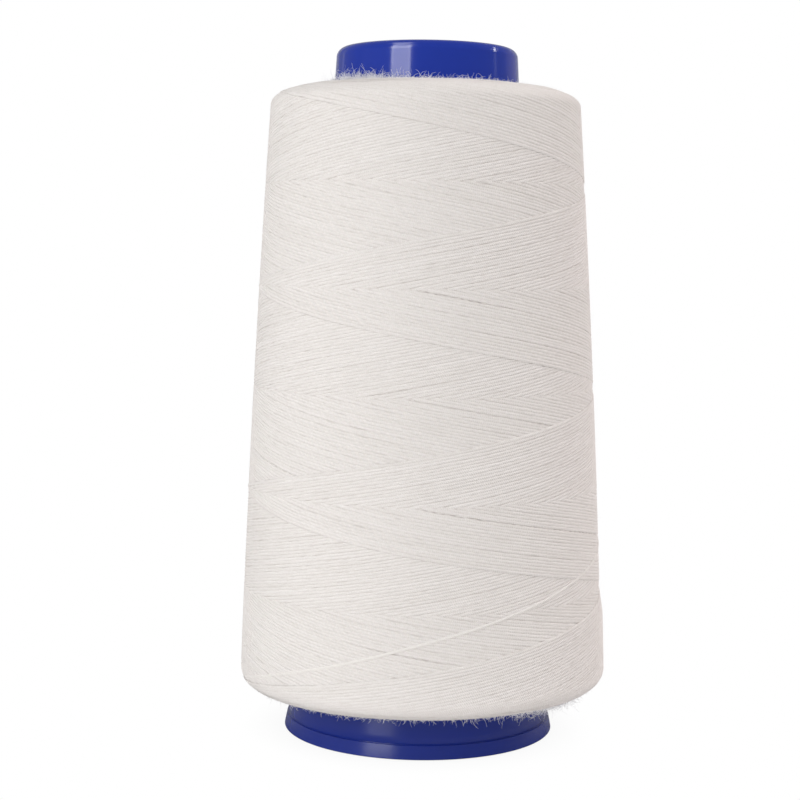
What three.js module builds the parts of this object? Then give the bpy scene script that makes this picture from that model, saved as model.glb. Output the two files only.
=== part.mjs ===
// A cone of sewing thread: white spun polyester thread, cross-wound on a hollow blue plastic cone.
// Millimetres, +Z up. The origin is the centre of the cone's foot, on the surface it stands on.
// Azimuth 0 is the -Y side, and azimuth grows towards +X.

import * as THREE from "three";

const degrees = (angle) => THREE.MathUtils.degToRad(angle);

// The plastic cone.
const CONE_HEIGHT = 170;
const NOSE_RADIUS = 22.45; // outer radius where the round nose begins
const NOSE_ROUND = 2.16;
const BODY_TAPER = degrees(3.31); // half-angle of the long cone
const WALL = 2;
const LIP_RADIUS = 18.4; // the nose's lip turns in to this opening
const LIP_ROUND = 0.8;
const LIP_DEPTH = 2.4;
const LIP_RUN_OUT = 2.1; // height over which the lip fades into the wall
const SKIRT_HEIGHT = 11.7; // the flared skirt below the winding
const SKIRT_FLARE = degrees(10.2);
const FOOT_HEIGHT = 3.64; // a band round the foot of the skirt
const FOOT_PROUD = 0.3; // how far the band stands out of the skirt
const EDGE_ROUND = 0.3;

// The wound package.
const WINDING_BOTTOM = 12.05;
const WINDING_TOP = 160.46;
const SIDE_RADIUS_BOTTOM = 45.96; // where the straight side would meet the bottom face
const SIDE_RADIUS_TOP = 38.11;
const BARREL = 0.59; // how far the side swells at mid height
const SHOULDER = { across: 11.5, down: 4.6 };
const LOWER_CORNER = { across: 4.2, down: 4.4 };
const CORE_GAP = 0.3; // clearance between the winding and the cone

// How the thread is laid: three turns a stroke, and the newest pass of each hand lies on top.
const TRAVERSE = 149.1; // height of one stroke
const TURNS_A_STROKE = 3;
const PITCH = TRAVERSE / TURNS_A_STROKE;
const RISING_FRONT = 123.3; // height of the newest rising strand at azimuth 0
const FALLING_FRONT = 149.2; // height of the newest falling strand at azimuth 0
const RIDGE = 0.3; // how far a fresh pass stands above the oldest strands in sight
const SIDE_DEPTH = 0.3; // a point no deeper than this under the side belongs to the side

// How finely round forms are cut into facets.
const FACETS_AROUND = 72;
const SIDE_ROWS = 30;
const ARC_STEPS = { edge: 2, nose: 6, shoulder: 6 };

const bluePolypropylene = new THREE.MeshStandardMaterial({
  color: 0x24357f,
  roughness: 0.22,
  metalness: 0,
});
const spunPolyester = new THREE.MeshStandardMaterial({
  color: 0xe6e1db,
  roughness: 0.9,
  metalness: 0,
});

/** Outer radius of the plastic cone's long taper at a height. */
function bodyRadius(z) {
  return NOSE_RADIUS + Math.tan(BODY_TAPER) * (CONE_HEIGHT - NOSE_ROUND - z);
}

/** Outer radius of the flared skirt at a height. */
function skirtRadius(z) {
  return bodyRadius(SKIRT_HEIGHT) + Math.tan(SKIRT_FLARE) * (SKIRT_HEIGHT - z);
}

/** Points of an elliptic arc in the profile plane, both ends included. */
function arc(centre, across, up, from, to, steps) {
  return Array.from({ length: steps + 1 }, (_, step) => {
    const turn = degrees(from + ((to - from) * step) / steps);
    return new THREE.Vector2(centre.x + across * Math.cos(turn), centre.y + up * Math.sin(turn));
  });
}

/** A solid of revolution about +Z from a closed profile of (radius, height) points. */
function turned(profile) {
  const closed = [...profile, profile[0].clone()];
  return new THREE.LatheGeometry(closed, FACETS_AROUND).rotateX(Math.PI / 2);
}

/** The cone's wall in section: up the outside from the foot, over the nose and down the inside. */
function coneProfile() {
  const at = (radius, z) => new THREE.Vector2(radius, z);
  const footRadius = (z) => skirtRadius(z) + FOOT_PROUD;
  const footTop = FOOT_HEIGHT - EDGE_ROUND;
  const nose = at(NOSE_RADIUS - NOSE_ROUND, CONE_HEIGHT - NOSE_ROUND);
  const lip = at(LIP_RADIUS + LIP_ROUND, CONE_HEIGHT - LIP_ROUND);
  const lipBottom = CONE_HEIGHT - LIP_DEPTH;
  const wallTop = lipBottom - LIP_RUN_OUT;
  return [
    at(skirtRadius(0) - WALL, 0),
    ...arc(at(footRadius(0) - EDGE_ROUND, EDGE_ROUND), EDGE_ROUND, EDGE_ROUND, -90, 0, ARC_STEPS.edge),
    ...arc(at(footRadius(footTop) - EDGE_ROUND, footTop), EDGE_ROUND, EDGE_ROUND, 0, 80, ARC_STEPS.edge),
    at(skirtRadius(FOOT_HEIGHT), FOOT_HEIGHT),
    at(bodyRadius(SKIRT_HEIGHT), SKIRT_HEIGHT),
    ...arc(nose, NOSE_ROUND, NOSE_ROUND, 0, 90, ARC_STEPS.nose),
    ...arc(lip, LIP_ROUND, LIP_ROUND, 90, 180, ARC_STEPS.edge),
    at(LIP_RADIUS, lipBottom),
    at(bodyRadius(wallTop) - WALL, wallTop),
    at(bodyRadius(SKIRT_HEIGHT) - WALL, SKIRT_HEIGHT),
  ];
}

/** Radius of the winding's side at a height, before its corners are rounded. */
function sideRadius(z) {
  const down = (WINDING_TOP - z) / (WINDING_TOP - WINDING_BOTTOM);
  const straight = THREE.MathUtils.lerp(SIDE_RADIUS_TOP, SIDE_RADIUS_BOTTOM, down);
  return straight + BARREL * 4 * down * (1 - down);
}

/** The winding in section: up its rounded outside and down its bore, clear of the cone. */
function windingProfile() {
  const boreRadius = (z) => bodyRadius(z) + CORE_GAP;
  const cornerZ = WINDING_BOTTOM + LOWER_CORNER.down;
  const shoulderZ = WINDING_TOP - SHOULDER.down;
  const corner = new THREE.Vector2(sideRadius(cornerZ) - LOWER_CORNER.across, cornerZ);
  const shoulder = new THREE.Vector2(sideRadius(shoulderZ) - SHOULDER.across, shoulderZ);
  const side = Array.from({ length: SIDE_ROWS - 1 }, (_, row) => {
    const z = THREE.MathUtils.lerp(cornerZ, shoulderZ, (row + 1) / SIDE_ROWS);
    return new THREE.Vector2(sideRadius(z), z);
  });
  return [
    new THREE.Vector2(boreRadius(WINDING_BOTTOM), WINDING_BOTTOM),
    ...arc(corner, LOWER_CORNER.across, LOWER_CORNER.down, -90, 0, ARC_STEPS.shoulder),
    ...side,
    ...arc(shoulder, SHOULDER.across, SHOULDER.down, 0, 90, ARC_STEPS.shoulder),
    new THREE.Vector2(boreRadius(WINDING_TOP), WINDING_TOP),
  ];
}

/** Age of the youngest strand at a place on the side: 0 at a fresh pass, 1 half a pitch behind it. */
function strandAge(azimuth, z) {
  const climb = (PITCH * azimuth) / (2 * Math.PI);
  const rising = THREE.MathUtils.euclideanModulo(RISING_FRONT + climb - z, PITCH);
  const falling = THREE.MathUtils.euclideanModulo(z - FALLING_FRONT + climb, PITCH);
  return Math.min(1, (2 * Math.min(rising, falling)) / PITCH);
}

/** Lowers the winding's side where older strands show, and leaves its end faces and bore alone. */
function layRidges(geometry) {
  const position = geometry.getAttribute("position");
  for (let i = 0; i < position.count; i += 1) {
    const x = position.getX(i);
    const y = position.getY(i);
    const z = position.getZ(i);
    const radius = Math.hypot(x, y);
    const onSide = z > WINDING_BOTTOM + LOWER_CORNER.down && z < WINDING_TOP - SHOULDER.down;
    if (onSide && radius > sideRadius(z) - SIDE_DEPTH) {
      const lowered = 1 - (RIDGE * strandAge(Math.atan2(x, -y), z)) / radius;
      position.setXY(i, x * lowered, y * lowered);
    }
  }
  return geometry;
}

/** A named piece of the model. */
function piece(name, geometry, material) {
  const mesh = new THREE.Mesh(geometry, material);
  mesh.name = name;
  return mesh;
}

const group = new THREE.Group();
group.add(piece("cone_core", turned(coneProfile()), bluePolypropylene));
group.add(piece("thread_winding", layRidges(turned(windingProfile())), spunPolyester));

export default group;
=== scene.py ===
"""A cone of sewing thread: off-white spun polyester, cross-wound on a blue moulded plastic cone.

The winding is laid strand by strand by the rule a cone winder follows, so its diamonds, its chevron rows and
the two fresh passes on top come out of the path and are not drawn. Metres throughout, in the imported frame;
azimuth 0 is the -Y side and grows towards +X.
"""

import logging
import math
from dataclasses import dataclass, field
from enum import Enum
from typing import Any, Iterable

import bpy
import numpy as np
from bpy.types import Material, Node, NodeTree, Object
from mathutils import Matrix, Vector
from numpy.random import Generator


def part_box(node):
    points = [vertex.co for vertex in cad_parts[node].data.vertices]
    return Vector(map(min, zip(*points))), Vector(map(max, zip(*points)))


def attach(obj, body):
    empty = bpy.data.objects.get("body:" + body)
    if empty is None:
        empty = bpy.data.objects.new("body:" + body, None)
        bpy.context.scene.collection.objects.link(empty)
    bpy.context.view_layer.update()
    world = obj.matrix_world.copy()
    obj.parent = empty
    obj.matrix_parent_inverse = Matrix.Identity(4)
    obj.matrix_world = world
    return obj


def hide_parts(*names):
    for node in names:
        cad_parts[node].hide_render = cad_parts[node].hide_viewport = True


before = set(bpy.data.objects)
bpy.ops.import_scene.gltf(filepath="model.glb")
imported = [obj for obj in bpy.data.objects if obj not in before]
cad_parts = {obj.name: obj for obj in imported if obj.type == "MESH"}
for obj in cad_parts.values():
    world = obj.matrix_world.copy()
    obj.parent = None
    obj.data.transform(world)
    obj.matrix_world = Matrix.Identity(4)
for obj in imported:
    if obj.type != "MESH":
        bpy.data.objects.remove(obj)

LOG = logging.getLogger("thread_cone")
MM = 0.001
FULL_TURN = 2 * math.pi
GOLDEN_TURN = FULL_TURN * 0.381966  # turns each ring of loops against the last, so that no two line up
STRAND_MAP = "strand"
STRAND_START_MM = 1000  # a strand's pattern starts anywhere on this length, so that no two look alike


# ---------------------------------------------------------------- small tools


def linear(hex_colour: str) -> tuple[float, float, float, float]:
    """Turns an sRGB hex colour into the linear RGBA that shaders take.

    Args:
        hex_colour: Six hex digits, such as "2437A0".

    Returns:
        The linear colour, with alpha 1.
    """
    channels = [int(hex_colour[i : i + 2], 16) / 255 for i in (0, 2, 4)]
    straight = [c / 12.92 if c <= 0.04045 else ((c + 0.055) / 1.055) ** 2.4 for c in channels]
    return (*straight, 1.0)


def add_node(tree: NodeTree, kind: str, links: dict[Any, Any] | None = None, **settings: Any) -> Node:
    """Adds one node, with its settings and its incoming links.

    Args:
        tree: The node tree that gets the node.
        kind: The node's Blender type name, without the ShaderNode that starts each of them.
        links: Input socket name or number to what feeds it: an output socket, or a node for its first one.
        settings: A node property's name to its value, or an input's default by the input's name, with _ for a
            space, or by its number, as input_1.

    Returns:
        The new node.
    """
    node = tree.nodes.new(f"ShaderNode{kind}")
    for name, value in settings.items():
        if hasattr(node, name):
            setattr(node, name, value)
        elif name.startswith("input_"):
            node.inputs[int(name.removeprefix("input_"))].default_value = value
        else:
            node.inputs[name.replace("_", " ")].default_value = value
    for socket, source in (links or {}).items():
        output = source.outputs[0] if isinstance(source, Node) else source
        tree.links.new(output, node.inputs[socket])
    return node


def empty_material(name: str) -> tuple[Material, NodeTree]:
    """Makes a material with no nodes yet.

    Args:
        name: The material's name.

    Returns:
        The material and its tree.
    """
    material = bpy.data.materials.new(name)
    material.use_nodes = True
    material.node_tree.nodes.clear()
    return material, material.node_tree


def mesh_piece(
    name: str,
    points: np.ndarray,
    faces: np.ndarray,
    corners: np.ndarray | None = None,
    lids: np.ndarray | None = None,
) -> Object:
    """Makes a smooth-shaded mesh object from arrays.

    Args:
        name: The piece's name.
        points: Vertices, one row each.
        faces: Quads or triangles as vertex numbers, one row each.
        corners: Optional map places, one row for each corner of the faces in order.
        lids: Optional faces of another number of sides, one row each, which lie at 0 on the map.

    Returns:
        The object, linked to the scene.
    """
    lids = np.empty((0, 3), dtype=int) if lids is None else lids
    sizes = np.repeat([faces.shape[1], lids.shape[1]], [len(faces), len(lids)])
    mesh = bpy.data.meshes.new(name)
    mesh.vertices.add(len(points))
    mesh.vertices.foreach_set("co", points.astype(np.float32).ravel())
    mesh.loops.add(int(sizes.sum()))
    mesh.loops.foreach_set("vertex_index", np.concatenate([faces.ravel(), lids.ravel()]).astype(np.int32))
    mesh.polygons.add(len(sizes))
    mesh.polygons.foreach_set("loop_start", (np.cumsum(sizes) - sizes).astype(np.int32))
    mesh.polygons.foreach_set("use_smooth", np.ones(len(sizes), dtype=bool))
    if corners is not None:
        places = np.zeros((int(sizes.sum()), 2), dtype=np.float32)
        places[: len(corners)] = corners
        mesh.uv_layers.new(name=STRAND_MAP).uv.foreach_set("vector", places.ravel())
    mesh.update(calc_edges=True)
    mesh.validate()
    piece = bpy.data.objects.new(name, mesh)
    bpy.context.scene.collection.objects.link(piece)
    return piece


def closed_grid(around: int, rows: int) -> np.ndarray:
    """Quads over a grid of vertices that closes on itself both ways.

    Args:
        around: How many steps go round, each with its own run of vertices.
        rows: How many vertices a run has.

    Returns:
        The quads as vertex numbers, one row each.
    """
    number = np.arange(around * rows).reshape(around, rows)
    onward, upward = np.roll(number, -1, axis=0), np.roll(number, -1, axis=1)
    return np.stack([number, onward, np.roll(onward, -1, axis=1), upward], axis=-1).reshape(-1, 4)


def turned_piece(name: str, outline: Iterable[tuple[float, float]], around: int) -> Object:
    """Turns a closed outline of (radius, height) points about +Z.

    Args:
        name: The piece's name.
        outline: The closed outline, anticlockwise with radius to the right and height up.
        around: How many steps go round.

    Returns:
        The closed solid of revolution.
    """
    profile = np.array(list(outline))
    turn = np.arange(around) * FULL_TURN / around
    ring = np.stack([np.sin(turn), -np.cos(turn)], axis=1)
    points = np.empty((around, len(profile), 3))
    points[:, :, :2] = profile[None, :, :1] * ring[:, None, :]
    points[:, :, 2] = profile[None, :, 1]
    piece = mesh_piece(name, points.reshape(-1, 3), closed_grid(around, len(profile)))
    piece.modifiers.new("flat_faces_stay_flat", "WEIGHTED_NORMAL")
    return piece


def arc(
    centre: tuple[float, float], across: float, up: float, start: float, stop: float, steps: int
) -> list[tuple[float, float]]:
    """Points of an elliptic arc in the (radius, height) plane.

    Args:
        centre: The arc's centre.
        across: Its half width.
        up: Its half height.
        start: Angle of its first point in degrees, from 0 outward to 90 upward.
        stop: Angle of its last point.
        steps: How many steps part them.

    Returns:
        The points, both ends included.
    """
    turns = np.radians(np.linspace(start, stop, steps + 1))
    return [(centre[0] + across * math.cos(t), centre[1] + up * math.sin(t)) for t in turns]


def unit(rows: np.ndarray) -> np.ndarray:
    """Scales each row to length 1."""
    return rows / np.linalg.norm(rows, axis=-1, keepdims=True)


def smooth_noise(count: int, spread: float, generator: Generator) -> np.ndarray:
    """A wandering series of unit strength.

    Args:
        count: How many values.
        spread: Over how many values it stays alike.
        generator: The seeded source of chance.

    Returns:
        The series, with a mean of about 0 and a standard deviation of about 1.
    """
    reach = int(4 * spread) + 1
    window = np.exp(-0.5 * (np.arange(-reach, reach + 1) / spread) ** 2)
    window /= math.sqrt(float((window**2).sum()))
    return np.convolve(generator.standard_normal(count + 2 * reach), window, mode="valid")


# ---------------------------------------------------------------- finishes


class Slot(Enum):
    """The two material slots."""

    PLASTIC = "cone_plastic"
    THREAD = "thread"


def dress(piece: Object, material: Material) -> Object:
    """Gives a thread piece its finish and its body.

    Args:
        piece: The piece.
        material: The finish.

    Returns:
        The same piece.
    """
    piece.data.materials.append(material)
    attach(piece, "root")
    return piece


@dataclass(frozen=True)
class MouldedPolypropylene:
    """Blue polypropylene, injection moulded in a polished tool: a deep colour under a clear gloss.

    Towards the foot the colour is painted darker, as painted shade under the thread, and the gloss is a
    little softer. The real grain of the tool, taken as about 0.05 mm, is too fine to show and is drawn
    coarser.
    """

    colour: str = "133099"
    foot_shaded_colour: str = "102884"
    foot_below_mm: float = 14.0
    body_above_mm: float = 40.0
    roughness: float = 0.13
    gloss_spread: float = 0.2
    foot_softening: float = 1.6
    ior: float = 1.49
    flow_mm: float = 14.0
    flow_drawn: float = 0.35
    grain_mm: float = 0.6
    grain_depth_mm: float = 0.02
    grain_strength: float = 0.04

    def material(self) -> Material:
        """Faint flow marks from the gate vary the gloss, and a fine tool grain breaks the highlights.

        Returns:
            The material.
        """
        material, tree = empty_material("moulded_blue_polypropylene")
        place = add_node(tree, "TexCoord").outputs["Object"]
        drawn = add_node(tree, "Mapping", {"Vector": place}, Scale=(1, 1, self.flow_drawn))
        flow = add_node(tree, "TexNoise", {"Vector": drawn}, Scale=1 / (self.flow_mm * MM), Detail=3.0)
        dull, bright = self.roughness * (1 + self.gloss_spread), self.roughness * (1 - self.gloss_spread)
        gloss = add_node(tree, "MapRange", {0: flow}, To_Min=bright, To_Max=dull)
        height = add_node(tree, "SeparateXYZ", {"Vector": place}).outputs["Z"]
        limits = {"From_Min": self.foot_below_mm * MM, "From_Max": self.body_above_mm * MM}
        body = add_node(tree, "MapRange", {0: height}, **limits)
        softer = add_node(tree, "MapRange", {0: body}, To_Min=self.foot_softening, To_Max=1.0)
        roughness = add_node(tree, "Math", {0: gloss, 1: softer}, operation="MULTIPLY")
        # Painted shade: the colour darkens from the body down to the foot, under the thread.
        ends = {"input_6": linear(self.foot_shaded_colour), "input_7": linear(self.colour)}
        tint = add_node(tree, "Mix", {0: body}, data_type="RGBA", **ends)
        grain = add_node(tree, "TexNoise", {"Vector": place}, Scale=1 / (self.grain_mm * MM), Detail=2.0)
        relief = {"Strength": self.grain_strength, "Distance": self.grain_depth_mm * MM}
        bump = add_node(tree, "Bump", {"Height": grain}, **relief)
        surface = {"Base Color": tint.outputs[2], "Roughness": roughness, "Normal": bump}
        shader = add_node(tree, "BsdfPrincipled", surface, IOR=self.ior)
        add_node(tree, "OutputMaterial", {"Surface": shader})
        return material


@dataclass(frozen=True)
class SpunPolyester:
    """Spun polyester thread: plies of short fibre twisted together, matt, with a slightly rough, beaded edge.

    Two plies at an assumed 1000 turns a metre make a bead every 0.5 mm. The fibres are drawn coarser than the
    real 0.015 mm, which is too fine to show. Where a strand stands a little off the next one, the shade in
    the gap between them is painted as a dark dash.
    """

    colour: str = "ECE8E6"
    shade: str = "DCD7D2"
    gap_shade_colour: str = "B0A6A0"
    gap_depth: float = 0.40
    gap_mm: float = 3.0
    gap_edge: tuple[float, float] = (0.07, 0.2)
    gap_patch: tuple[float, float] = (0.46, 0.68)
    gap_rows: float = 2.0
    roughness: float = 0.85
    specular: float = 0.3
    ior: float = 1.5
    plies: int = 2
    ply_mm: float = 0.5
    ply_share: float = 0.32
    ply_drift: float = 60.0
    fibre_mm: float = 0.35
    fibre_rows: float = 9.0
    drift_share: float = 0.5
    tint_range: tuple[float, float] = (0.5, 1.0)
    relief_mm: float = 0.06
    relief_strength: float = 0.7
    drift_mm: float = 60.0

    def material(self, state: str) -> Material:
        """The plies show as slanting beads along each strand, and the colour drifts a little along it.

        Args:
            state: How the thread lies, which ends the material's name.

        Returns:
            The material.
        """
        material, tree = empty_material(f"spun_polyester_thread_{state}")
        along = add_node(tree, "UVMap", uv_map=STRAND_MAP)
        slow = add_node(tree, "Mapping", {"Vector": along}, Scale=(1 / self.drift_mm, 0, 1))
        drift = add_node(tree, "TexNoise", {"Vector": slow}, Scale=1.0, Detail=5.0)
        slant = (FULL_TURN / self.ply_mm, self.plies * FULL_TURN, 0)
        turns = add_node(tree, "VectorMath", {0: along}, operation="DOT_PRODUCT", input_1=slant)
        wound = {0: drift, 2: turns.outputs["Value"]}
        phase = add_node(tree, "Math", wound, operation="MULTIPLY_ADD", input_1=self.ply_drift)
        beads = add_node(tree, "Math", {0: phase}, operation="SINE")
        lengthwise = (1 / self.fibre_mm, self.fibre_rows, 1)
        stretched = add_node(tree, "Mapping", {"Vector": along}, Scale=lengthwise)
        fibres = add_node(tree, "TexNoise", {"Vector": stretched}, Scale=1.0, Detail=3.0)
        both = {0: beads, 2: fibres}
        mixed = add_node(tree, "Math", both, operation="MULTIPLY_ADD", input_1=self.ply_share)
        relief = {"Strength": self.relief_strength, "Distance": self.relief_mm * MM}
        bump = add_node(tree, "Bump", {"Height": mixed}, **relief)
        both = {0: drift, 2: fibres}
        tufts = add_node(tree, "Math", both, operation="MULTIPLY_ADD", input_1=self.drift_share)
        dark, pale = self.tint_range
        tint = add_node(tree, "MapRange", {0: tufts}, From_Min=dark, From_Max=pale)
        ends = {"input_6": linear(self.shade), "input_7": linear(self.colour)}
        blend = add_node(tree, "Mix", {0: tint}, data_type="RGBA", **ends)
        # Painted shade in the gaps between strands: the colour is mixed towards a darker grey there.
        sides = {0: self.painted_gap_shade(tree, along), 6: blend.outputs[2]}
        gap_shaded = add_node(tree, "Mix", sides, data_type="RGBA", input_7=linear(self.gap_shade_colour))
        surface = {"Base Color": gap_shaded.outputs[2], "Normal": bump}
        gloss = {"Roughness": self.roughness, "IOR": self.ior, "Specular_IOR_Level": self.specular}
        shader = add_node(tree, "BsdfPrincipled", surface, **gloss)
        add_node(tree, "OutputMaterial", {"Surface": shader})
        return material

    def painted_gap_shade(self, tree: NodeTree, along: Node) -> Node:
        """Where a strand's edges stand off their neighbours, in dashes about gap_mm long.

        Args:
            tree: The material's tree.
            along: The node that reads the strand's map.

        Returns:
            The node that gives the strength of the painted gap shade, from 0 on the crest to gap_depth.
        """
        place = add_node(tree, "SeparateXYZ", {"Vector": along}).outputs
        aside = add_node(tree, "Math", {0: place["Y"]}, operation="PINGPONG", input_1=0.5)
        crest, flank = self.gap_edge
        edge = add_node(tree, "MapRange", {0: aside}, From_Min=crest, From_Max=flank)
        lengthwise = (1 / self.gap_mm, self.gap_rows, 1)
        row = add_node(tree, "Mapping", {"Vector": along}, Scale=lengthwise)
        patch = add_node(tree, "TexNoise", {"Vector": row}, Scale=1.0, Detail=2.0)
        shut, wide = self.gap_patch
        dash = add_node(tree, "MapRange", {0: patch}, From_Min=shut, From_Max=wide, To_Max=self.gap_depth)
        return add_node(tree, "Math", {0: edge, 1: dash}, operation="MULTIPLY")


@dataclass(frozen=True)
class LooseFibre:
    """Single polyester fibres that stand out of the thread: translucent, so pale also against the light."""

    colour: str = "FDFDFD"
    shade: str = "F6F5F5"
    roughness: float = 0.6
    patch_mm: float = 3.0
    translucency: float = 0.5

    def material(self) -> Material:
        """A pale fibre whose shade varies a little from one to the next.

        Returns:
            The material.
        """
        material, tree = empty_material("loose_polyester_fibre")
        place = add_node(tree, "TexCoord").outputs["Object"]
        patch = add_node(tree, "TexNoise", {"Vector": place}, Scale=1 / (self.patch_mm * MM), Detail=1.0)
        ends = {"input_6": linear(self.colour), "input_7": linear(self.shade)}
        tint = add_node(tree, "Mix", {0: patch}, data_type="RGBA", **ends)
        matt = add_node(tree, "BsdfDiffuse", {"Color": tint.outputs[2]}, Roughness=self.roughness)
        through = add_node(tree, "BsdfTranslucent", {"Color": tint.outputs[2]})
        sides = {1: matt, 2: through}
        both = add_node(tree, "MixShader", sides, Fac=self.translucency)
        add_node(tree, "OutputMaterial", {"Surface": both})
        return material


# ---------------------------------------------------------------- the plastic cone


@dataclass
class MouldedCone:
    """The hollow blue cone: round nose with a turned-in lip, long taper, flared skirt and a foot band."""

    height: float
    nose_radius: float = 22.45 * MM
    nose_round: float = 2.4 * MM
    taper: float = math.radians(3.31)
    wall: float = 2 * MM
    lip_radius: float = 18.4 * MM
    lip_round: float = 0.8 * MM
    lip_depth: float = 2.4 * MM
    lip_run_out: float = 2.1 * MM
    skirt_height: float = 11.7 * MM
    skirt_flare: float = math.radians(10.2)
    foot_height: float = 3.3 * MM
    foot_proud: float = 0.3 * MM
    foot_draft: float = 0.04 * MM
    foot_crown: float = 0.015 * MM
    edge_round: float = 0.18 * MM
    band_round: tuple[float, float] = (0.12 * MM, 0.14 * MM)
    band_tilt: int = 10
    groove: tuple[float, float] = (0.30 * MM, 0.42 * MM)
    around: int = 256
    edge_steps: int = 6
    band_steps: int = 10
    nose_steps: int = 28
    lip_steps: int = 8
    skirt_rows: int = 6
    body_rows: int = 24

    def body_radius(self, z: float | np.ndarray) -> float | np.ndarray:
        """Outer radius of the long taper at a height."""
        return self.nose_radius + math.tan(self.taper) * (self.height - self.nose_round - z)

    def skirt_radius(self, z: float) -> float:
        """Outer radius of the flared skirt at a height."""
        return self.body_radius(self.skirt_height) + math.tan(self.skirt_flare) * (self.skirt_height - z)

    def outline(self) -> list[tuple[float, float]]:
        """The wall in section.

        Returns:
            Its (radius, height) points, anticlockwise from the inner edge of the foot.
        """
        edge, nose_start = self.edge_round, self.height - self.nose_round
        foot_top = self.foot_height - self.band_round[1]
        lip_bottom = self.height - self.lip_depth
        wall_top = lip_bottom - self.lip_run_out
        low_edge = self.skirt_radius(0) + self.foot_proud - edge
        high_edge = self.skirt_radius(foot_top) + self.foot_proud - self.foot_draft - self.band_round[0]
        depth, tall = self.groove
        groove_wall = self.skirt_radius(self.foot_height) - depth
        skirt = np.linspace(self.foot_height + tall, self.skirt_height, self.skirt_rows)
        band_middle = (low_edge + edge + high_edge + self.band_round[0]) / 2
        body = np.linspace(self.skirt_height, nose_start, self.body_rows)[1:-1]
        nose = (self.nose_radius - self.nose_round, nose_start)
        lip = (self.lip_radius + self.lip_round, self.height - self.lip_round)
        return [
            (self.skirt_radius(0) - self.wall, 0.0),
            *arc((low_edge, edge), edge, edge, -90, self.band_tilt, self.edge_steps),
            (band_middle + self.foot_crown, (edge + foot_top) / 2),
            *arc((high_edge, foot_top), *self.band_round, self.band_tilt, 90, self.band_steps),
            (groove_wall, self.foot_height),
            (groove_wall, self.foot_height + tall / 2),
            *((self.skirt_radius(z), z) for z in skirt),
            *((float(self.body_radius(z)), z) for z in body),
            *arc(nose, self.nose_round, self.nose_round, 0, 90, self.nose_steps),
            *arc(lip, self.lip_round, self.lip_round, 90, 180, self.lip_steps),
            (self.lip_radius, lip_bottom),
            (float(self.body_radius(wall_top)) - self.wall, wall_top),
            (float(self.body_radius(self.skirt_height)) - self.wall, self.skirt_height),
        ]

    def build(self, finish: MouldedPolypropylene) -> Object:
        """Moulds the cone and dresses it.

        Args:
            finish: The plastic.

        Returns:
            The cone, which stands for the CAD cone.
        """
        cone = turned_piece("moulded_cone", self.outline(), self.around)
        cone.data.materials.append(finish.material())
        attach(cone, "root")
        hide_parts("cone_core")
        return cone


# ---------------------------------------------------------------- the wound package


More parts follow.
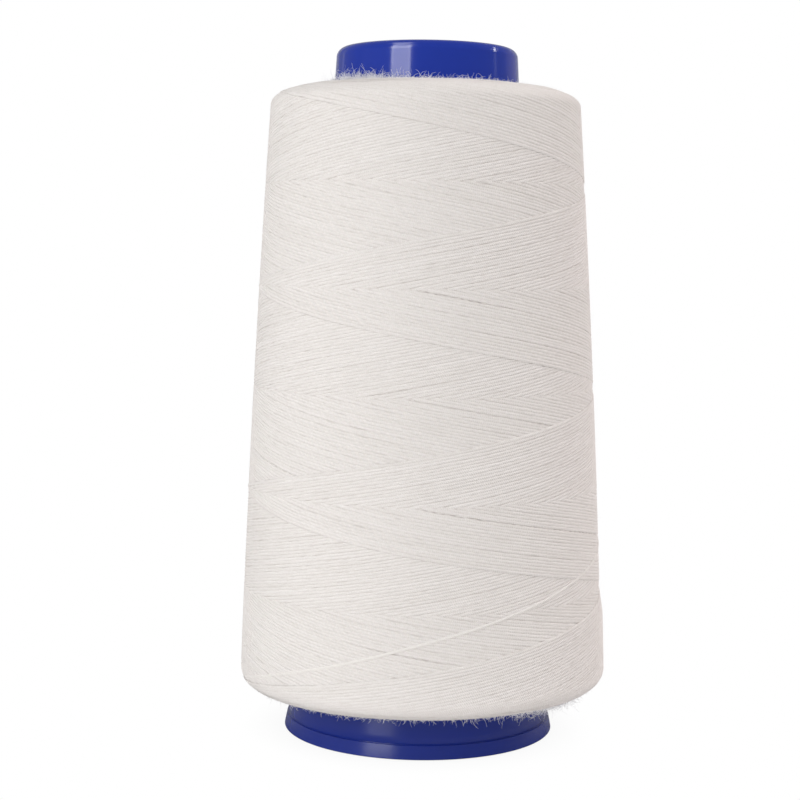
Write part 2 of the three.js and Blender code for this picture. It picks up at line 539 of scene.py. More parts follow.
@dataclass
class WoundForm:
    """The outside of the package, followed from the bore over the bottom, side and top back to the bore.

    A place on it is an azimuth and a distance along this section, which is nearly the height on the side.
    The whole package leans a little on its cone, and its last passes are heaped up low down on one side.
    """

    bottom: float
    top: float
    cone: MouldedCone
    side_low: float = 45.96 * MM
    side_high: float = 38.11 * MM
    barrel: float = 0.59 * MM
    corner: tuple[float, float] = (3.3 * MM, 3.7 * MM)
    shoulder: tuple[float, float] = (11.5 * MM, 4.6 * MM)
    clearance: float = 0.05 * MM
    lean: float = 0.0063
    askew: float = 0.010
    shift: float = 0.21 * MM
    lean_fade: float = 6 * MM
    heap: float = 0.65 * MM
    heap_azimuth: tuple[float, float] = (math.radians(100), math.radians(42))
    heap_top: tuple[float, float] = (29 * MM, 36 * MM)
    face_steps: tuple[int, int] = (60, 40)
    round_steps: tuple[int, int] = (60, 90)
    side_steps: int = 300
    table: dict[str, np.ndarray] = field(default_factory=dict)

    def __post_init__(self) -> None:
        """Measures the section once, as a dense table of place, radius, height and outward direction."""
        corner_z, shoulder_z = self.bottom + self.corner[1], self.top - self.shoulder[1]
        low = (self.side_radius(corner_z) - self.corner[0], corner_z)
        high = (self.side_radius(shoulder_z) - self.shoulder[0], shoulder_z)
        bore_low = float(self.cone.body_radius(self.bottom)) + self.clearance
        bore_high = float(self.cone.body_radius(self.top)) + self.clearance
        flat_low = np.linspace(bore_low, low[0], self.face_steps[0])[:-1]
        flat_high = np.linspace(high[0], bore_high, self.face_steps[1])[1:]
        heights = np.linspace(corner_z, shoulder_z, self.side_steps)[1:-1]
        points = [
            *((r, self.bottom) for r in flat_low),
            *arc(low, *self.corner, -90, 0, self.round_steps[0]),
            *((self.side_radius(z), z) for z in heights),
            *arc(high, *self.shoulder, 0, 90, self.round_steps[1]),
            *((r, self.top) for r in flat_high),
        ]
        section = np.array(points)
        run = np.concatenate([[0], np.cumsum(np.linalg.norm(np.diff(section, axis=0), axis=1))])
        ahead = unit(np.gradient(section, run, axis=0))
        self.table = {
            "run": run + corner_z - np.interp(corner_z, section[:, 1], run),
            "r": section[:, 0],
            "z": section[:, 1],
            "out_r": ahead[:, 1],
            "out_z": -ahead[:, 0],
        }

    def side_radius(self, z: float) -> float:
        """Radius of the side at a height, before its corners are rounded."""
        down = (self.top - z) / (self.top - self.bottom)
        return self.side_high + (self.side_low - self.side_high) * down + self.barrel * 4 * down * (1 - down)

    def ends(self) -> tuple[float, float]:
        """The first and last place along the section, both at the bore."""
        return float(self.table["run"][0]), float(self.table["run"][-1])

    def place(
        self, azimuth: np.ndarray, run: np.ndarray, level: np.ndarray | float
    ) -> tuple[np.ndarray, np.ndarray]:
        """Finds points and outward directions.

        Args:
            azimuth: Angles round the axis.
            run: Distances along the section.
            level: How far out of the form each point lies.

        Returns:
            The points and the unit outward directions, one row each.
        """
        known = self.table["run"]
        r, z, out_r, out_z = (np.interp(run, known, self.table[k]) for k in ("r", "z", "out_r", "out_z"))
        scale = 1 / np.hypot(out_r, out_z)
        out_r, out_z = out_r * scale, out_z * scale
        level = level + self.heaped(azimuth, run) * np.clip(out_r, 0, 1)
        radius, height = r + level * out_r, z + level * out_z
        sine, cosine = np.sin(azimuth), -np.cos(azimuth)
        x, y = radius * sine, radius * cosine
        bore = self.cone.body_radius(height)
        free = np.clip((radius - bore) / self.lean_fade, 0, 1)
        middle = (self.top + self.bottom) / 2
        aside = self.shift - self.lean * (height - middle)
        askew = self.askew * (self.top - height) / (self.top - self.bottom)
        moved = np.stack([x + free * aside, y, height + free * askew * x], axis=-1)
        return moved, np.stack([out_r * sine, out_r * cosine, out_z], axis=-1)

    def heaped(self, azimuth: np.ndarray, run: np.ndarray) -> np.ndarray:
        """How far the last passes have piled up, low down on one side.

        Args:
            azimuth: Angles round the axis.
            run: Distances along the section.

        Returns:
            The added level at each place.
        """
        middle, reach = self.heap_azimuth
        aside = np.mod(azimuth - middle + math.pi, FULL_TURN) - math.pi
        full, none = self.heap_top
        down = np.clip((none - run) / (none - full), 0, 1)
        return self.heap * np.exp(-((aside / reach) ** 2)) * down * down * (3 - 2 * down)


@dataclass(frozen=True)
class WindingLaw:
    """How the winder lays the thread: three turns a stroke, each double stroke a little behind the last.

    The strokes fall on a lattice. A rising strand crosses one falling strand at each lattice step, and after
    half a turn's worth of steps it climbs onto the strands that were laid before it.
    """

    low: float
    high: float
    passes: int = 65
    half_turns: int = 6
    last_turn: float = -1.48
    lift: float = 0.18 * MM
    tip_round: float = 1.3 * MM

    @property
    def stroke(self) -> int:
        """Lattice steps in one stroke."""
        return self.half_turns * self.passes - 1

    @property
    def step(self) -> float:
        """Azimuth of one lattice step."""
        return math.pi / self.passes

    @property
    def rise(self) -> float:
        """Climb of one lattice step along the side."""
        return (self.high - self.low) / self.stroke

    @property
    def pitch(self) -> float:
        """Climb of a strand in a whole turn."""
        return self.rise * 2 * self.passes

    def reversal(self, age: int) -> float:
        """Azimuth at which pass number age, counted back from the newest, ends at the bottom."""
        return self.last_turn - age * 2 * self.stroke * self.step

    def top_level(self, azimuth: np.ndarray, run: np.ndarray) -> np.ndarray:
        """How far the uppermost strand lies below the newest one.

        Args:
            azimuth: Angles round the axis.
            run: Distances along the section.

        Returns:
            The level of the uppermost strand at each place, 0 or less.
        """
        climb = self.pitch * (azimuth - self.last_turn) / FULL_TURN
        rising = np.mod(self.low + climb - run, self.pitch)
        falling = np.mod(run - self.low + climb, self.pitch)
        return -self.lift * (rising + falling) / self.pitch


class Lay(Enum):
    """The section of a laid strand, as (across, out) points in half widths and half heights."""

    PACKED = ((0.0, 1.0), (-0.76, 0.0), (-1.0, -1.0), (1.0, -1.0), (0.76, 0.0))
    LOOSE = ((0.0, 1.0), (-0.7, 0.6), (-1.0, -1.0), (1.0, -1.0), (0.7, 0.6))


@dataclass
class Strand:
    """A run of thread: its middle line, the outward direction along it, its half sizes and how it lies.

    A packed strand is pressed flat between its neighbours, which overlap its edges, and a loose one lies on
    them as a low ribbon.
    """

    points: np.ndarray
    outward: np.ndarray
    half_width: float
    half_height: float | np.ndarray
    lay: Lay = Lay.PACKED

    def rings(self) -> np.ndarray:
        """Sets the section round each point of the middle line.

        Returns:
            The tube's vertices, one ring for each point.
        """
        ahead = unit(np.gradient(self.points, axis=0))
        across = unit(np.cross(ahead, self.outward))
        raised = np.cross(across, ahead)
        aside, up = np.array(self.lay.value).T
        aside = aside * self.half_width
        up = up * np.broadcast_to(self.half_height, len(self.points))[:, None]
        return self.points[:, None] + aside[:, None] * across[:, None] + up[..., None] * raised[:, None]

    def lengths(self) -> np.ndarray:
        """Distance along the strand at each point, in millimetres, as its finish reads it."""
        steps = np.linalg.norm(np.diff(self.points, axis=0), axis=1)
        return np.concatenate([[0], np.cumsum(steps)]) / MM


def strand_piece(name: str, strands: Iterable[Strand]) -> Object:
    """Joins strands into one mesh of closed tubes, with a map of length along and place around.

    Args:
        name: The piece's name.
        strands: The strands.

    Returns:
        The object.
    """
    points, faces, lids, corners, first = [], [], [], [], 0
    sides, offset = len(Lay.PACKED.value), np.random.default_rng(len(name))
    for strand in strands:
        count = len(strand.points)
        number = first + np.arange(count * sides).reshape(count, sides)
        onward = np.roll(number, -1, axis=1)
        faces.append(np.stack([number[:-1], number[1:], onward[1:], onward[:-1]], axis=-1).reshape(-1, 4))
        lids += [number[0], number[-1][::-1]]
        length = strand.lengths() + offset.uniform(0, STRAND_START_MM)
        near, far = (np.broadcast_to(u[:, None], (count - 1, sides)) for u in (length[:-1], length[1:]))
        side = np.broadcast_to(np.arange(sides) / sides, (count - 1, sides))
        next_side = side + 1 / sides
        quads = np.stack([near, side, far, side, far, next_side, near, next_side], axis=-1)
        corners.append(quads.reshape(-1, 2))
        points.append(strand.rings().reshape(-1, 3))
        first += count * sides
    points, faces, corners = (np.concatenate(rows) for rows in (points, faces, corners))
    return mesh_piece(name, points, faces, corners, np.array(lids))


@dataclass
class ThreadPackage:
    """The cross-wound package: its passes, the last turn over them and the older thread under them.

    A strand is drawn about 1 mm wide, since the real thread, of 0.25 mm, is too fine to show.
    """

    form: WoundForm
    law: WindingLaw
    half_width: float = 0.53 * MM
    half_height: float = 0.15 * MM
    pressed: float = 0.4
    pressed_reach: float = 12 * MM
    loose: tuple[float, float] = (0.42 * MM, 0.09 * MM)
    loose_level: float = 0.12 * MM
    loose_from: tuple[float, float] = (-0.75, -0.2)
    wander: float = 0.04 * MM
    wander_steps: float = 5.0
    uneven: float = 0.03 * MM
    bunch: float = 0.035
    bunch_sizes: tuple[int, int] = (3, 6)
    bunch_fade: int = 20
    end_fade: float = 6 * MM
    tail_ease: int = 9
    tail_tuck: tuple[int, int] = (6, 3)
    bed_depth: float = 1.9
    bed_fade: float = 3 * MM
    bed_rows: int = 120
    seed: int = 11

    # The last turn's route: azimuth in radians and place along the section in millimetres.
    TAIL_ROUTE = (
        (-1.48, 13.2),
        (-1.10, 16.6),
        (-0.75, 20.7),
        (-0.50, 23.6),
        (-0.03, 29.9),
        (0.60, 37.4),
        (1.20, 44.5),
        (1.90, 52.0),
        (2.60, 58.5),
        (3.10, 62.0),
    )

    def bunching(self, generator: Generator) -> np.ndarray:
        """How far each falling pass is drawn towards its neighbours, in groups of three to five passes.

        Args:
            generator: The seeded source of chance.

        Returns:
            One offset along the section for each pass.
        """
        offsets = np.zeros(self.law.passes)
        spacing = self.law.pitch / self.law.passes
        start = 0
        while start < self.law.passes:
            size = int(generator.integers(*self.bunch_sizes))
            members = np.arange(start, min(start + size, self.law.passes))
            offsets[members] = (members.mean() - members) * spacing * self.bunch
            start += size
        return offsets

    def pass_strand(self, age: int, bunch: float, generator: Generator) -> Strand:
        """One double stroke, from a bottom reversal up to the top and down again.

        Args:
            age: 0 for the newest pass.
            bunch: Offset of the falling stroke towards its neighbours.
            generator: The seeded source of chance.

        Returns:
            The strand.
        """
        law = self.law
        steps = np.arange(2 * law.stroke + 1)
        azimuth = law.reversal(age + 1) + steps * law.step
        inward = np.minimum(steps, 2 * law.stroke - steps)
        from_low = inward * law.rise
        from_high = (law.stroke - inward) * law.rise
        soft_low = law.low + np.hypot(from_low, law.tip_round)
        soft_high = law.high - np.hypot(from_high, law.tip_round)
        run = np.where(inward < law.stroke / 2, soft_low, soft_high)
        falling = np.clip((steps - law.stroke) / self.bunch_fade, 0, 1)
        stray = smooth_noise(len(steps), self.wander_steps, generator) * self.wander
        stray += generator.standard_normal() * self.uneven
        clear = np.clip(np.minimum(from_low, from_high) / self.end_fade, 0, 1)
        run = run + stray * clear + bunch * falling * clear
        progress = np.where(steps < law.stroke, steps, steps - law.stroke)
        saw = (progress % law.passes) / (law.passes - 1)
        saw[[0, law.stroke, -1]] = 0.5
        level = -law.lift * (2 * age / law.passes + saw)
        points, outward = self.form.place(azimuth, run, level)
        away = np.clip(from_low / self.pressed_reach, 0, 1)
        half_height = self.half_height * (self.pressed + (1 - self.pressed) * away)
        return Strand(points, outward, self.half_width, half_height)

    def passes(self) -> list[Strand]:
        """Lays every pass in sight.

        Returns:
            The strands, the newest first.
        """
        generator = np.random.default_rng(self.seed)
        bunches = self.bunching(generator)
        return [self.pass_strand(age, bunches[age], generator) for age in range(self.law.passes)]

    def tail(self) -> Strand:
        """Lays the last turn, loosely and at a steeper angle over the rest, with its end tucked under.

        Returns:
            The strand.
        """
        route = np.array(self.TAIL_ROUTE)
        azimuth = np.arange(route[0, 0], route[-1, 0], self.law.step / 2)
        straight = np.interp(azimuth, route[:, 0], route[:, 1]) * MM
        window = np.hanning(2 * self.tail_ease + 1)
        window /= window.sum()
        padded = np.pad(straight, self.tail_ease, mode="reflect", reflect_type="odd")
        run = np.convolve(padded, window, mode="valid")
        level = self.law.top_level(azimuth, run) + self.loose_level
        level = np.convolve(np.pad(level, self.tail_ease, mode="edge"), window, mode="valid")
        tight, free = self.loose_from
        level -= np.clip((free - azimuth) / (free - tight), 0, 1) * self.loose_level
        steps, strands = self.tail_tuck
        out = np.clip(np.arange(len(azimuth))[::-1] / steps, 0, 1)
        level -= (1 - out) * self.lifted(strands)
        points, outward = self.form.place(azimuth, run, level)
        return Strand(points, outward, *self.loose, Lay.LOOSE)

    def lifted(self, strands: float) -> float:
        """The thickness of so many layers of thread."""
        return strands * self.law.lift

    def bed(self) -> Object:
        """Fills in the older thread under the strands in sight, closed round its ends and bore.

        Returns:
            The piece.
        """
        law, around = self.law, 2 * self.law.passes
        first, last = self.form.ends()
        runs = np.linspace(first, last, self.bed_rows)
        azimuth = np.arange(around) * law.step
        grid_azimuth, grid_run = np.meshgrid(azimuth, runs, indexing="ij")
        side = np.clip(np.minimum(grid_run - law.low, law.high - grid_run) / self.bed_fade, 0, 1)
        level = np.where(side > 0, law.top_level(grid_azimuth, grid_run) * side, 0)
        points, _ = self.form.place(grid_azimuth, grid_run, level - self.lifted(self.bed_depth))
        return mesh_piece("thread_bed", points.reshape(-1, 3), closed_grid(around, len(runs)))

    def build(self, wound: Material, unpressed_painted_lighter: Material) -> list[Object]:
        """Lays the passes, in four pieces that each stay small, then the last turn and the bed.

        Args:
            wound: The finish of thread that lies pressed among its neighbours.
            unpressed_painted_lighter: The finish of thread that lies loose on top.

        Returns:
            The pieces, which take the place of the hidden CAD winding.
        """
        strands = self.passes()
        quarter = math.ceil(len(strands) / 4)
        parts = [strands[part * quarter : (part + 1) * quarter] for part in range(4)]
        pieces = [dress(strand_piece(f"wound_thread_{i}", part), wound) for i, part in enumerate(parts, 1)]
        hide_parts("thread_winding")
        last_turn = dress(strand_piece("last_turn", [self.tail()]), unpressed_painted_lighter)
        return [*pieces, last_turn, dress(self.bed(), wound)]


@dataclass
class ReversalLoops:
    """Reversal loops of older layers, which show as overlapping arcs on an end of the package."""

    package: ThreadPackage
    name: str
    first: float
    last: float
    rings: int
    around: int = 8
    scatter: float = 0.12
    half_sweep: tuple[float, float] = (0.52, 0.72)
    steps: int = 17
    sway_mm: float = 0.16
    slant_mm: float = 0.35
    uneven_mm: float = 0.04
    depth: float = 0.10 * MM
    dip: float = 1.5
    widened: float = 1.3

    def loop(self, middle: float, run: float, generator: Generator) -> Strand:
        """One loop, whose ends dip under the others.

        Args:
            middle: Azimuth about which it lies.
            run: Place of its ring along the section.
            generator: The seeded source of chance.

        Returns:
            The strand.
        """
        package = self.package
        middle += generator.normal(0, self.scatter)
        half = generator.uniform(*self.half_sweep)
        sweep = np.linspace(-half, half, self.steps)
        sway = generator.normal(0, self.sway_mm) * MM + generator.normal(0, self.slant_mm) * MM * sweep
        dip = (sweep / half) ** 2 * package.lifted(self.dip)
        level = -self.depth - dip + generator.normal(0, self.uneven_mm) * MM
        place = np.clip(run + sway, *package.form.ends())
        laid = package.form.place(middle + sweep, place, level)
        return Strand(*laid, self.widened * package.half_width, package.pressed * package.half_height)

    def build(self, thread: Material, generator: Generator) -> Object:
        """Lays every loop, ring by ring from the outside in.

        Args:
            thread: The finish of wound thread.
            generator: The seeded source of chance.

        Returns:
            The piece.
        """
        turns = np.arange(self.around) * FULL_TURN / self.around
        rings = enumerate(np.linspace(self.first, self.last, self.rings))
        places = [(ring * GOLDEN_TURN + turn, run) for ring, run in rings for turn in turns]
        return dress(strand_piece(self.name, [self.loop(*place, generator) for place in places]), thread)


# ---------------------------------------------------------------- fuzz


@dataclass(frozen=True)
class Growth:
    """One growth of fibre ends, with its sizes in millimetres and its turns in radians.

    Its lengths are the median, the shortest and the longest, and each radius is half of a fibre's width.
    """

    count: int
    length: tuple[float, float, float]
    spread: float
    radius: tuple[float, float]
    joints: int
    curl: float
    sway: float = 0.75

    def lengths(self, generator: Generator) -> np.ndarray:
        """Draws the fibres' lengths.

        Args:
            generator: The seeded source of chance.

        Returns:
            A length for each fibre.
        """
        median, shortest, longest = self.length
        drawn = median * generator.lognormal(0, self.spread, self.count)
        return np.clip(drawn, shortest, longest) * MM

    def radii(self, generator: Generator) -> np.ndarray:
        """A radius for each fibre."""
        return generator.uniform(*self.radius, self.count) * MM


@dataclass(frozen=True)
class Fringe:
    """Fibre ends that stand out of one end of the package and brush the cone.

    Upward is 1 on the top face, where they stand up, and -1 on the bottom face, where they hang. Their roots
    lie from one inset to the other away from the bore. Some are gathered about the azimuth of the longest.
    """

    name: str
    growth: Growth
    upward: int
    inset: tuple[float, float]
    longest: float
    stretch: float


SIDE_FIBRES = Growth(3000, (0.7, 0.25, 2.0), 0.5, (0.010, 0.020), 5, 1.6)
SHORT_FIBRES = Growth(3800, (0.95, 0.4, 1.8), 0.35, (0.034, 0.050), 8, 5.5, 1.2)
STRAY_FIBRES = Growth(1900, (1.7, 0.8, 3.0), 0.35, (0.030, 0.044), 10, 4.5, 1.0)
NOSE_ROOTS, NOSE_LONGEST = (0.5 * MM, 3.4 * MM), math.radians(-44)
FOOT_ROOTS, FOOT_LONGEST = (8.4 * MM, 11.0 * MM), math.radians(50)


@dataclass
class FibreFuzz:
    """Fibre ends that stand out of spun thread, over the side and thick where the package meets the cone.

    They are drawn 0.02 to 0.1 mm wide at the root, since real ones, of 0.015 mm, are too fine to show.
    """

    package: ThreadPackage
    taper: float = 0.5
    roll: float = 0.5
    rooted: float = 0.05 * MM
    side_growth: Growth = SIDE_FIBRES
    side_past: float = 2 * MM
    side_climb: float = 0.7
    side_stand: tuple[float, float] = (2.0, 0.35)
    fringes: tuple[Fringe, ...] = (
        Fringe("nose_fuzz", SHORT_FIBRES, 1, NOSE_ROOTS, NOSE_LONGEST, 1.05),
        Fringe("nose_strays", STRAY_FIBRES, 1, NOSE_ROOTS, NOSE_LONGEST, 1.05),
        Fringe("foot_fuzz", SHORT_FIBRES, -1, FOOT_ROOTS, FOOT_LONGEST, 1.2),
        Fringe("foot_strays", STRAY_FIBRES, -1, FOOT_ROOTS, FOOT_LONGEST, 1.1),
    )
    gathered: float = 0.3
    gathered_over: float = 0.2
    gathered_reach: tuple[float, float, int] = (0.8, 0.7, 8)
    splay: float = 0.3
    stand: tuple[float, float] = (0.1, 1.3)
    seed: int = 5

    def hairs(
        self, name: str, roots: np.ndarray, lean: np.ndarray, reach: np.ndarray, growth: Growth
    ) -> Object:
        """Grows bent hairs as narrow tapering strips, whose flat sides mostly face out from the axis.

        Args:
            name: The piece's name.
            roots: Where each hair starts.
            lean: Each hair's first direction.
            reach: How much each hair's length is stretched.
            growth: How the hairs grow.

        Returns:
            The hairs, joined in one piece.
        """
        generator = np.random.default_rng(self.seed + len(name))
        length, radius = growth.lengths(generator) * reach, growth.radii(generator)
        ahead = unit(lean)
        bend = unit(np.cross(ahead, generator.standard_normal(roots.shape)))
        turn = (generator.normal(0, growth.curl, growth.count) / growth.joints)[:, None]
        roll = generator.normal(0, self.roll, growth.count)[:, None]
        away = unit(roots * (1, 1, 0))
        spot = roots.copy()
        rows = []
        for joint in range(growth.joints):
            side = unit(np.cross(ahead, bend))
            flat = unit(np.cross(ahead, away))
            thin = (radius * (1 - self.taper * joint / (growth.joints - 1)))[:, None]
            aside = thin * (np.cos(roll) * flat + np.sin(roll) * np.cross(ahead, flat))
            rows += [spot - aside, spot + aside]
            ahead = unit(ahead * np.cos(turn) + side * np.sin(turn))
            spot = spot + ahead * (length / (growth.joints - 1))[:, None]
        points = np.stack(rows, axis=1).reshape(-1, 3)
        left, right = np.moveaxis(np.arange(len(points)).reshape(-1, growth.joints, 2), 2, 0)
        faces = np.stack([left[:, :-1], right[:, :-1], right[:, 1:], left[:, 1:]], axis=-1)
        return mesh_piece(name, points, faces.reshape(-1, 4))

    def side_fuzz(self) -> Object:
        """Grows short fibres that lie mostly along the side, with a few that stand out of it.

        Returns:
            The piece.
        """
        generator = np.random.default_rng(self.seed)
        law, form, count = self.package.law, self.package.form, self.side_growth.count
        azimuth = generator.uniform(0, FULL_TURN, count)
        run = generator.uniform(law.low - self.side_past, law.high + self.side_past, count)
        roots, outward = form.place(azimuth, run, law.top_level(azimuth, run) + self.rooted)
        around = np.stack([np.cos(azimuth), np.sin(azimuth), np.zeros(count)], axis=-1)
        upward = np.cross(outward, around)
        heading = generator.uniform(0, FULL_TURN, count)[:, None]
        lean = np.cos(heading) * around + self.side_climb * np.sin(heading) * upward
        lean = lean + outward * generator.gamma(*self.side_stand, count)[:, None]
        return self.hairs("side_fuzz", roots, lean, np.ones(count), self.side_growth)

    def fringe(self, fringe: Fringe) -> Object:
        """Grows the fibres of a fringe.

        Args:
            fringe: Where and how they grow.

        Returns:
            The piece.
        """
        growth, upward, count = fringe.growth, fringe.upward, fringe.growth.count
        generator = np.random.default_rng(self.seed + count + upward)
        crowd = generator.normal(fringe.longest, self.gathered_over, count)
        spread = generator.uniform(0, FULL_TURN, count)
        azimuth = np.where(generator.random(count) < self.gathered, crowd, spread)
        bore = self.package.form.ends()[upward > 0]
        run = bore - upward * generator.uniform(*fringe.inset, count)
        roots, _ = self.package.form.place(azimuth, run, -self.rooted)
        around = np.stack([np.cos(azimuth), np.sin(azimuth), np.zeros(count)], axis=-1)
        away = np.stack([np.sin(azimuth), -np.cos(azimuth), np.zeros(count)], axis=-1)
        lean = around * generator.normal(0, growth.sway, count)[:, None]
        lean += away * generator.normal(0, self.splay, count)[:, None]
        lean[:, 2] += upward * generator.uniform(*self.stand, count)
        least, more, narrowing = self.gathered_reach
        near = np.cos(azimuth - fringe.longest).clip(0, 1) ** narrowing
        return self.hairs(fringe.name, roots, lean, fringe.stretch * (least + more * near), growth)

    def build(self, fibre: Material) -> list[Object]:
        """Grows the fuzz of the side and then each fringe, all dressed in the same finish."""
        fuzz = [self.side_fuzz(), *(self.fringe(fringe) for fringe in self.fringes)]
        return [dress(piece, fibre) for piece in fuzz]


# ---------------------------------------------------------------- the studio


@dataclass(frozen=True)
class Softbox:
    """A flat lamp that faces the object, placed by angles in degrees.

    Reflections show it where it is seen, and matt surfaces are lit by it where it lights.
    """

    name: str
    azimuth: float
    elevation: float
    distance: float
    width: float
    height: float
    radiance: float
    seen: bool = True
    lights: bool = True
    colour: str = "FFFFFF"
    aim: float = 0.09
    tilt: float = 0.0

    def build(self) -> None:
        """Hangs the lamp; its power follows from its area and how bright its face is to look like."""
        data = bpy.data.lights.new(self.name, "AREA")
        data.shape = "RECTANGLE"
        data.size, data.size_y = self.width, self.height
        data.energy = self.radiance * math.pi * self.width * self.height
        data.color = linear(self.colour)[:3]
        lamp = bpy.data.objects.new(self.name, data)
        lamp.visible_glossy = self.seen
        lamp.visible_diffuse = self.lights
        lamp.visible_camera = False
        turn, lift = math.radians(self.azimuth), math.radians(self.elevation)
        away = Vector((math.sin(turn) * math.cos(lift), -math.cos(turn) * math.cos(lift), math.sin(lift)))
        lamp.location = Vector((0, 0, self.aim)) + away * self.distance
        facing = away.to_track_quat("Z", "Y").to_matrix() @ Matrix.Rotation(math.radians(self.tilt), 3, "Z")
        lamp.rotation_euler = facing.to_euler()
        bpy.context.scene.collection.objects.link(lamp)


@dataclass
class Studio:
    """A pale sweep, soft lamps and the camera.

    The key lights the object from the left, and its edges, face, core and top shape its streak on the nose.
    The strips and glints draw the bright lines on the plastic's edges, and the side cards lighten its flanks.
    The fills light the thread from the right and from low down, and no reflection shows them.
    """

    camera_distance: float = 440.2 * MM
    camera_height: float = 120.07 * MM
    pitch: float = 0.0847
    yaw: float = -0.01273
    roll: float = 0.0136
    lens: float = 78.88
    sensor: float = 36.0
    clip: tuple[float, float] = (0.01, 20.0)
    room_light: float = 0.33
    paper_albedo: float = 0.80
    mirrored: float = 0.44
    glint: float = 0.04
    shadow_reach: float = 12 * MM
    shadow_floor: float = 0.86
    shade_samples: int = 8
    near_edge: float = -2.2
    wall: float = 1.1
    wall_top: float = 2.4
    bend: float = 0.3
    bend_steps: int = 16
    half_width: float = 0.64
    paper_drop: float = 0.2 * MM
    # Each lamp's name, azimuth, elevation, distance, width, height and radiance, and what sets it apart.
    softboxes: tuple[Softbox, ...] = (
        Softbox("key_softbox", -34.8, 29, 6.0, 2.43, 5.3, 4.75, tilt=7),
        Softbox("key_edge_left", -46.4, 27.7, 5.94, 0.12, 5.1, 10.0, lights=False, tilt=7),
        Softbox("key_edge_right", -24.2, 30.3, 5.94, 0.12, 5.1, 10.0, tilt=7),
        Softbox("key_face", -34.8, 26, 1.1, 0.446, 0.550, 0.6, lights=False),
        Softbox("key_core", -34.8, 29.3, 1.1, 0.446, 0.420, 2.6, lights=False),
        Softbox("edge_strip", 94.5, 14, 1.1, 0.018, 0.42, 2.0),
        Softbox("key_top", -56, 66.3, 1.1, 0.28, 0.53, 4.4, lights=False, tilt=39.5),
        Softbox("edge_glint_low", 98.6, 26.0, 1.1, 0.03, 0.33, 22.0, tilt=-27),
        Softbox("edge_glint_high", 113.6, 39.6, 1.1, 0.03, 0.35, 13.0, tilt=-57),
        Softbox("left_card", -70, 8, 1.3, 0.9, 0.9, 0.12),
        Softbox("left_strip", -131, 9, 1.0, 0.06, 0.5, 0.6),
        Softbox("right_card", 134, 8, 1.3, 0.75, 0.9, 0.15, colour="FFE4EA"),
        Softbox("right_fill", 107, 37, 3.0, 3.0, 1.0, 4.8, seen=False, colour="FFF4F2"),
        Softbox("left_fill", -88, 4, 1.0, 1.2, 0.22, 2.0, seen=False, aim=0.02),
        Softbox("front_fill", 4, 4, 1.2, 1.0, 0.22, 1.3, seen=False, aim=0.02),
    )

    def camera(self) -> None:
        """Stands the camera in front, a little above the middle of the object, and looks slightly down."""
        data = bpy.data.cameras.new("camera")
        data.lens, data.sensor_width = self.lens, self.sensor
        data.clip_start, data.clip_end = self.clip
        camera = bpy.data.objects.new("camera", data)
        turned = Matrix.Rotation(-self.yaw, 4, "Z") @ Matrix.Rotation(math.pi / 2 - self.pitch, 4, "X")
        place = Matrix.Translation((0, -self.camera_distance, self.camera_height))
        camera.matrix_world = place @ turned @ Matrix.Rotation(self.roll, 4, "Z")
        bpy.context.scene.collection.objects.link(camera)
        bpy.context.scene.camera = camera

    def sweep(self) -> None:
        """A white paper sweep: floor, round bend and back wall in one sheet."""
        bend = arc((self.wall - self.bend, self.bend), self.bend, self.bend, -90, 0, self.bend_steps)
        profile = [(self.near_edge, 0.0), *bend, (self.wall, self.wall_top)]
        sides, drop = (-self.half_width, self.half_width), self.paper_drop
        points = np.array([(x, y, z - drop) for y, z in profile for x in sides])
        first = np.arange(len(profile) - 1) * 2
        faces = np.stack([first, first + 1, first + 3, first + 2], axis=-1)
        sheet = mesh_piece("paper_sweep", points, faces)
        sheet.data.materials.append(self.paper())

    def paper(self) -> Material:
        """White paper: plain white to the camera, but for a soft shadow close round the object.

        Reflections show it dimmer than it is lit: `mirrored` takes the place of its albedo there, and `glint`
        adds a little glow. A full white pales the foot of the cone and leaves its nose as it is.

        Returns:
            The material.
        """
        material, tree = empty_material("white_paper")
        path = add_node(tree, "LightPath").outputs
        rays = {0: path["Is Camera Ray"], 1: path["Is Transmission Ray"]}
        seen = add_node(tree, "Math", rays, operation="MAXIMUM")
        reach = {"samples": self.shade_samples, "Distance": self.shadow_reach}
        shade = add_node(tree, "AmbientOcclusion", **reach).outputs["AO"]
        near = add_node(tree, "MapRange", {0: shade}, To_Min=self.shadow_floor, To_Max=1.0)
        white = add_node(tree, "Math", {0: seen, 1: near}, operation="MULTIPLY")
        glossy = path["Is Glossy Ray"]
        glint = add_node(tree, "Math", {0: glossy, 2: white}, operation="MULTIPLY_ADD", input_1=self.glint)
        glow = add_node(tree, "Emission", {"Strength": glint})
        lit = add_node(tree, "MapRange", {0: glossy}, To_Min=self.paper_albedo, To_Max=self.mirrored)
        dimmed = add_node(tree, "Math", {0: shade, 1: lit}, operation="MULTIPLY")
        albedo = add_node(tree, "MapRange", {0: seen, 3: dimmed}, To_Max=0.0)
        matt = add_node(tree, "BsdfDiffuse", {"Color": albedo})
        both = add_node(tree, "AddShader", {0: matt, 1: glow})
        add_node(tree, "OutputMaterial", {"Surface": both})
        return material

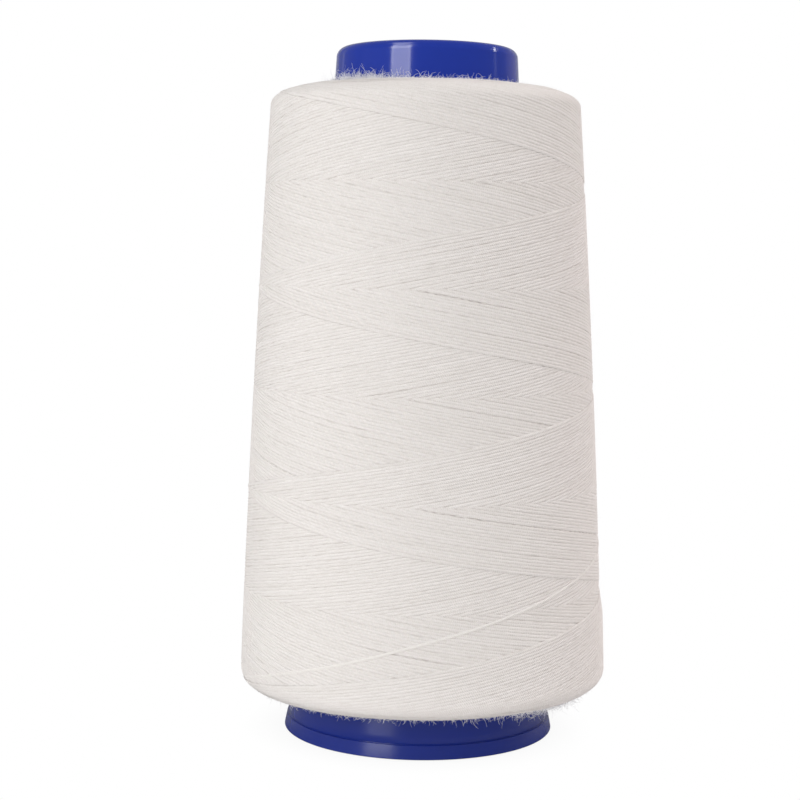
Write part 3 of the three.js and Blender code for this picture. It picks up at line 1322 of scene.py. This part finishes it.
    def room(self) -> None:
        """Even light from all round, white where the camera looks past the sweep."""
        world = bpy.data.worlds.new("room")
        bpy.context.scene.world = world
        world.use_nodes = True
        tree = world.node_tree
        tree.nodes.clear()
        seen = add_node(tree, "LightPath").outputs["Is Camera Ray"]
        level = add_node(tree, "MapRange", {0: seen}, To_Min=self.room_light, To_Max=1.0)
        sky = add_node(tree, "Background", {"Strength": level}, Color=(1, 1, 1, 1))
        add_node(tree, "OutputWorld", {"Surface": sky})

    def build(self) -> None:
        """Sets up the view, the sweep and the light."""
        self.camera()
        self.sweep()
        self.room()
        for softbox in self.softboxes:
            softbox.build()
        bpy.context.scene.view_settings.view_transform = "Standard"


# ---------------------------------------------------------------- putting it together


TOP_ROOM = 0.1 * MM  # the form ends this far under the CAD winding, since its strands stand out of it
TOP_REVERSAL = 0.75 * MM  # a stroke ends this far on, since the round shoulder is longer than it is high
LOOP_INSET = 1 * MM
TOP_RINGS, BOTTOM_RINGS = 26, 32


def main() -> None:
    logging.basicConfig(level=logging.INFO, format="%(message)s")
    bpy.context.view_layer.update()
    Studio().build()
    cone_low, cone_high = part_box("cone_core")
    thread_low, thread_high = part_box("thread_winding")

    cone = MouldedCone(height=cone_high.z - cone_low.z)
    form = WoundForm(bottom=thread_low.z, top=thread_high.z - TOP_ROOM, cone=cone)
    law = WindingLaw(low=thread_low.z, high=thread_high.z + TOP_REVERSAL)
    package = ThreadPackage(form, law)
    first, last = form.ends()
    top_loops = ReversalLoops(package, "top_loops", law.high - LOOP_INSET, last, TOP_RINGS)
    bottom_loops = ReversalLoops(package, "bottom_loops", law.low + LOOP_INSET, first, BOTTOM_RINGS)

    wound = SpunPolyester().material("wound")
    # The last turn is painted a little lighter than the wound thread, as painted light on the raised strand,
    # and has no painted gap shade.
    unpressed_painted_lighter = SpunPolyester(colour="EDE9E6", shade="E4E0DB", gap_depth=0.0).material("unpressed_painted_lighter")
    generator = np.random.default_rng(package.seed + 1)
    pieces = [
        cone.build(MouldedPolypropylene()),
        *package.build(wound, unpressed_painted_lighter),
        top_loops.build(wound, generator),
        bottom_loops.build(wound, generator),
        *FibreFuzz(package).build(LooseFibre().material()),
    ]
    for piece in pieces:
        LOG.info("%s: %d faces", piece.name, len(piece.data.polygons))


if __name__ == "__main__":
    main()
